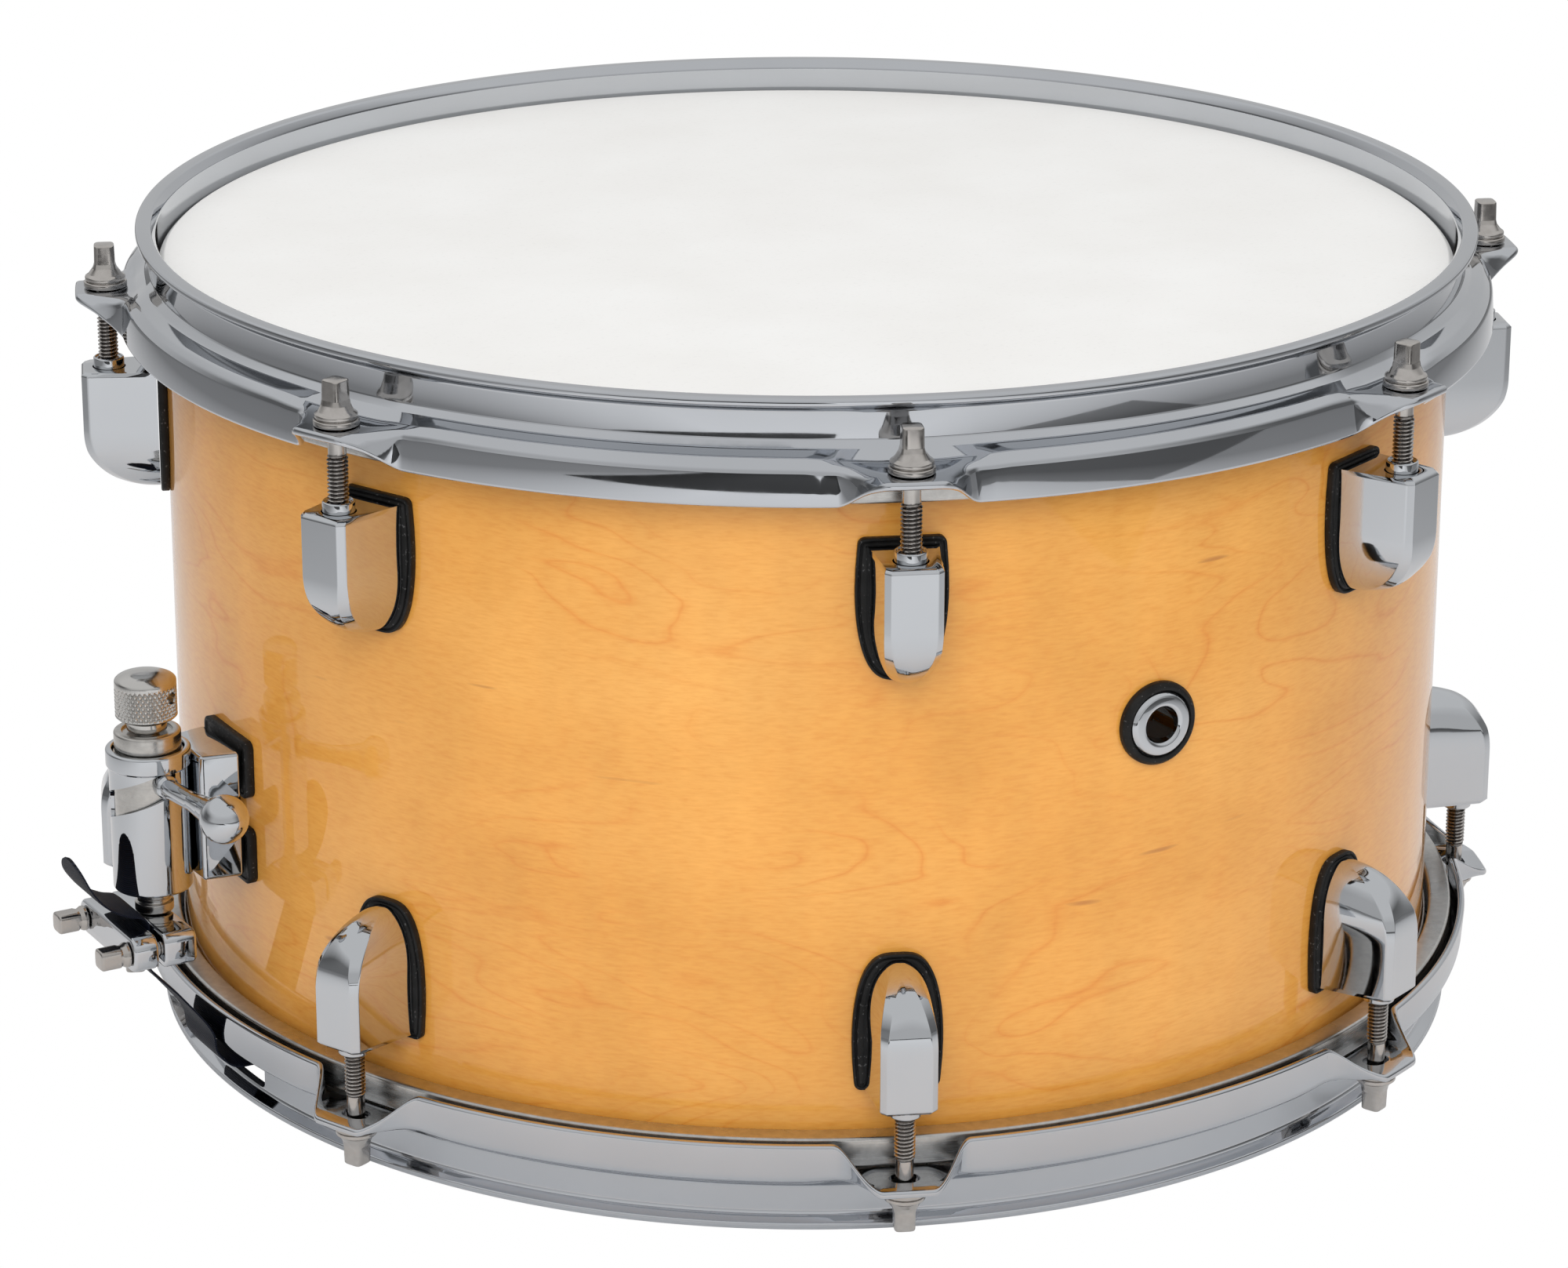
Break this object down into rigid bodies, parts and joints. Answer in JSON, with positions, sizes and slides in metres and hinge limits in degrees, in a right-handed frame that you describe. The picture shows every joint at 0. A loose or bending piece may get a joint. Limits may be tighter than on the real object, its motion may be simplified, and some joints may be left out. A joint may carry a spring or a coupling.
{
  "type": "snare drum",
  "caption": "Deep wooden snare drum with two tensioned heads, steel counter hoops, single lugs with key rods, a side-throw strainer, a butt plate and wire snares.",
  "frame": {"origin": "centre of the batter head's playing face", "axes": "+Z is the shell's axis, up through the batter head; -Y is the side with the air vent; the strainer is at -X and the butt plate at +X"},
  "size_m": [0.4317, 0.3782, 0.2224],
  "materials": {
    "maple_shell": "amber maple veneer under clear gloss lacquer",
    "coated_film": "white sprayed polyester film",
    "clear_film": "thin hazy polyester film",
    "chrome": "bright chrome plate",
    "aluminium": "drawn, satin",
    "steel": "turned, lightly polished",
    "nickel": "nickel plate, slightly dull",
    "rubber": "matt black",
    "webbing": "woven dark navy ribbon"
  },
  "bodies": {
    "drum": {"shell": "maple_shell", "batter_head_film": "coated_film", "snare_side_head_film": "clear_film", "batter_flesh_hoop": "aluminium", "snare_side_flesh_hoop": "aluminium", "batter_hoop": "chrome", "snare_side_hoop": "chrome", "vent_grommet": "chrome", "strainer_housing": "chrome", "strainer_bracket": "chrome", "strainer_gasket": "rubber", "snare_strap_run": "webbing", "butt_plate": "chrome", "butt_clamp_plate": "chrome", "butt_strap": "webbing", "batter_lug_1": "chrome", "batter_lug_2": "chrome", "batter_lug_3": "chrome", "batter_lug_4": "chrome", "batter_lug_5": "chrome", "batter_lug_6": "chrome", "batter_lug_7": "chrome", "batter_lug_8": "chrome", "snare_side_lug_1": "chrome", "snare_side_lug_2": "chrome", "snare_side_lug_3": "chrome", "snare_side_lug_4": "chrome", "snare_side_lug_5": "chrome", "snare_side_lug_6": "chrome", "snare_side_lug_7": "chrome", "snare_side_lug_8": "chrome"},
    "batter_tension_rod_1": {"batter_tension_rod_1": "nickel"},
    "batter_tension_rod_2": {"batter_tension_rod_2": "nickel"},
    "batter_tension_rod_3": {"batter_tension_rod_3": "nickel"},
    "batter_tension_rod_4": {"batter_tension_rod_4": "nickel"},
    "batter_tension_rod_5": {"batter_tension_rod_5": "nickel"},
    "batter_tension_rod_6": {"batter_tension_rod_6": "nickel"},
    "batter_tension_rod_7": {"batter_tension_rod_7": "nickel"},
    "batter_tension_rod_8": {"batter_tension_rod_8": "nickel"},
    "snare_side_tension_rod_1": {"snare_side_tension_rod_1": "nickel"},
    "snare_side_tension_rod_2": {"snare_side_tension_rod_2": "nickel"},
    "snare_side_tension_rod_3": {"snare_side_tension_rod_3": "nickel"},
    "snare_side_tension_rod_4": {"snare_side_tension_rod_4": "nickel"},
    "snare_side_tension_rod_5": {"snare_side_tension_rod_5": "nickel"},
    "snare_side_tension_rod_6": {"snare_side_tension_rod_6": "nickel"},
    "snare_side_tension_rod_7": {"snare_side_tension_rod_7": "nickel"},
    "snare_side_tension_rod_8": {"snare_side_tension_rod_8": "nickel"},
    "piston": {"strainer_piston": "steel"},
    "lever": {"cam_sleeve": "steel", "throw_lever": "chrome"},
    "knob": {"tension_knob": "steel"},
    "strap_clamp": {"adjuster_stem": "steel", "strap_clamp_block": "chrome", "strap_clamp_plate": "chrome", "snare_strap_tail": "webbing"},
    "snares": {"snare_wires": "nickel"},
    "strap_clamp_screw_left": {"strap_clamp_screw_left": "nickel"},
    "strap_clamp_screw_right": {"strap_clamp_screw_right": "nickel"},
    "butt_clamp_screw_left": {"butt_clamp_screw_left": "nickel"},
    "butt_clamp_screw_right": {"butt_clamp_screw_right": "nickel"}
  },
  "joints": [
    {"name": "batter_tension_rod_1_turn", "type": "hinge", "parent": "drum", "child": "batter_tension_rod_1", "pos_m": [0.17803, 0.07374, -0.0073], "axis": [0, 0, 1], "continuous": true},
    {"name": "batter_tension_rod_2_turn", "type": "hinge", "parent": "drum", "child": "batter_tension_rod_2", "pos_m": [0.07374, 0.17803, -0.0073], "axis": [0, 0, 1], "continuous": true},
    {"name": "batter_tension_rod_3_turn", "type": "hinge", "parent": "drum", "child": "batter_tension_rod_3", "pos_m": [-0.07374, 0.17803, -0.0073], "axis": [0, 0, 1], "continuous": true},
    {"name": "batter_tension_rod_4_turn", "type": "hinge", "parent": "drum", "child": "batter_tension_rod_4", "pos_m": [-0.17803, 0.07374, -0.0073], "axis": [0, 0, 1], "continuous": true},
    {"name": "batter_tension_rod_5_turn", "type": "hinge", "parent": "drum", "child": "batter_tension_rod_5", "pos_m": [-0.17803, -0.07374, -0.0073], "axis": [0, 0, 1], "continuous": true},
    {"name": "batter_tension_rod_6_turn", "type": "hinge", "parent": "drum", "child": "batter_tension_rod_6", "pos_m": [-0.07374, -0.17803, -0.0073], "axis": [0, 0, 1], "continuous": true},
    {"name": "batter_tension_rod_7_turn", "type": "hinge", "parent": "drum", "child": "batter_tension_rod_7", "pos_m": [0.07374, -0.17803, -0.0073], "axis": [0, 0, 1], "continuous": true},
    {"name": "batter_tension_rod_8_turn", "type": "hinge", "parent": "drum", "child": "batter_tension_rod_8", "pos_m": [0.17803, -0.07374, -0.0073], "axis": [0, 0, 1], "continuous": true},
    {"name": "snare_side_tension_rod_1_turn", "type": "hinge", "parent": "drum", "child": "snare_side_tension_rod_1", "pos_m": [0.17803, -0.07374, -0.1973], "axis": [0, 0, 1], "continuous": true},
    {"name": "snare_side_tension_rod_2_turn", "type": "hinge", "parent": "drum", "child": "snare_side_tension_rod_2", "pos_m": [0.07374, -0.17803, -0.1973], "axis": [0, 0, 1], "continuous": true},
    {"name": "snare_side_tension_rod_3_turn", "type": "hinge", "parent": "drum", "child": "snare_side_tension_rod_3", "pos_m": [-0.07374, -0.17803, -0.1973], "axis": [0, 0, 1], "continuous": true},
    {"name": "snare_side_tension_rod_4_turn", "type": "hinge", "parent": "drum", "child": "snare_side_tension_rod_4", "pos_m": [-0.17803, -0.07374, -0.1973], "axis": [0, 0, 1], "continuous": true},
    {"name": "snare_side_tension_rod_5_turn", "type": "hinge", "parent": "drum", "child": "snare_side_tension_rod_5", "pos_m": [-0.17803, 0.07374, -0.1973], "axis": [0, 0, 1], "continuous": true},
    {"name": "snare_side_tension_rod_6_turn", "type": "hinge", "parent": "drum", "child": "snare_side_tension_rod_6", "pos_m": [-0.07374, 0.17803, -0.1973], "axis": [0, 0, 1], "continuous": true},
    {"name": "snare_side_tension_rod_7_turn", "type": "hinge", "parent": "drum", "child": "snare_side_tension_rod_7", "pos_m": [0.07374, 0.17803, -0.1973], "axis": [0, 0, 1], "continuous": true},
    {"name": "snare_side_tension_rod_8_turn", "type": "hinge", "parent": "drum", "child": "snare_side_tension_rod_8", "pos_m": [0.17803, 0.07374, -0.1973], "axis": [0, 0, 1], "continuous": true},
    {"name": "snare_drop", "type": "slide", "parent": "drum", "child": "piston", "axis": [0, 0, -1], "range_m": [0, 0.007], "deforming": ["snare_strap_run"]},
    {"name": "lever_turn", "type": "hinge", "parent": "piston", "child": "lever", "pos_m": [-0.2017, 0, -0.1205], "axis": [0, 0, 1], "range_deg": [-100, 0]},
    {"name": "knob_turn", "type": "hinge", "parent": "piston", "child": "knob", "pos_m": [-0.2017, 0, -0.0983], "axis": [0, 0, 1], "range_deg": [-720, 720]},
    {"name": "fine_tension", "type": "slide", "parent": "piston", "child": "strap_clamp", "axis": [0, 0, 1], "range_m": [-0.0025, 0.0025]},
    {"name": "snares_fall", "type": "hinge", "parent": "drum", "child": "snares", "pos_m": [0.17, 0, -0.20595], "axis": [0, 1, 0], "range_deg": [-0.42, 0]},
    {"name": "strap_clamp_screw_left_turn", "type": "hinge", "parent": "strap_clamp", "child": "strap_clamp_screw_left", "pos_m": [-0.2115, 0.0146, -0.1641], "axis": [1, 0, 0], "continuous": true},
    {"name": "strap_clamp_screw_right_turn", "type": "hinge", "parent": "strap_clamp", "child": "strap_clamp_screw_right", "pos_m": [-0.2115, -0.0146, -0.1641], "axis": [1, 0, 0], "continuous": true},
    {"name": "butt_clamp_screw_left_turn", "type": "hinge", "parent": "drum", "child": "butt_clamp_screw_left", "pos_m": [0.1935, -0.0146, -0.1641], "axis": [1, 0, 0], "continuous": true},
    {"name": "butt_clamp_screw_right_turn", "type": "hinge", "parent": "drum", "child": "butt_clamp_screw_right", "pos_m": [0.1935, 0.0146, -0.1641], "axis": [1, 0, 0], "continuous": true}
  ],
  "couplings": [
    {"joint": "lever_turn", "follows": "snare_drop", "rad_per_m": -249.33},
    {"joint": "snares_fall", "follows": "snare_drop", "rad_per_m": -1.0143},
    {"joint": "knob_turn", "follows": "fine_tension", "rad_per_m": -5026.5}
  ]
}
